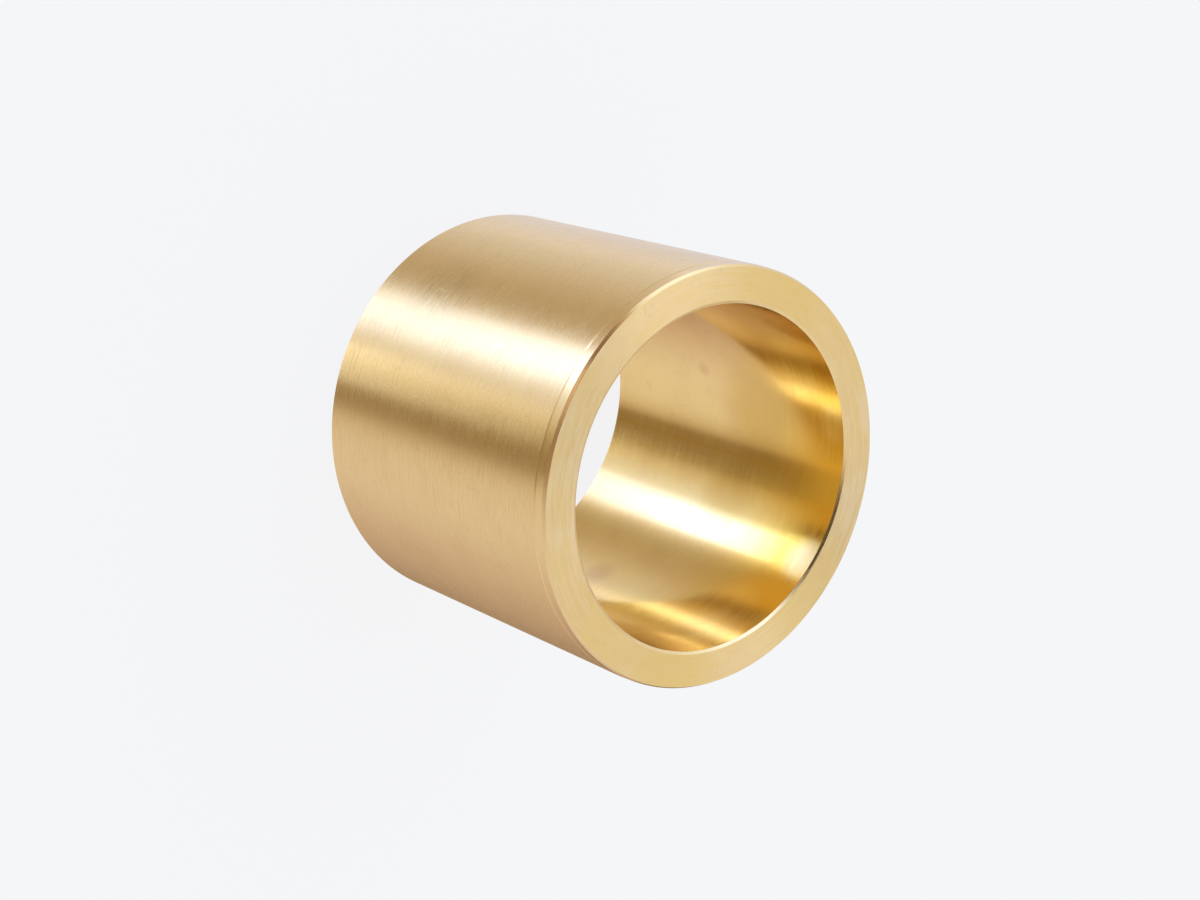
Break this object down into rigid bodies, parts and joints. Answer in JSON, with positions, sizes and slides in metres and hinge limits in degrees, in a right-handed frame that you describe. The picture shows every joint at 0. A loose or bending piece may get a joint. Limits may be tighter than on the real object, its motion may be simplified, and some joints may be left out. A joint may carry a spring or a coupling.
{
  "type": "sleeve bearing",
  "caption": "Plain cylindrical bronze sleeve bearing with a smooth through bore, a reduced lead-in land at its fitting end and chamfered bore ends.",
  "frame": {"origin": "centre of the plain end face, on the bore axis", "axes": "+Z along the bore axis, from the plain end towards the fitting end with the lead-in land"},
  "size_m": [0.11, 0.11, 0.095],
  "materials": {
    "bronze": "satin, turned and brushed round the axis"
  },
  "bodies": {
    "root": {"sleeve": "bronze"}
  },
  "joints": []
}
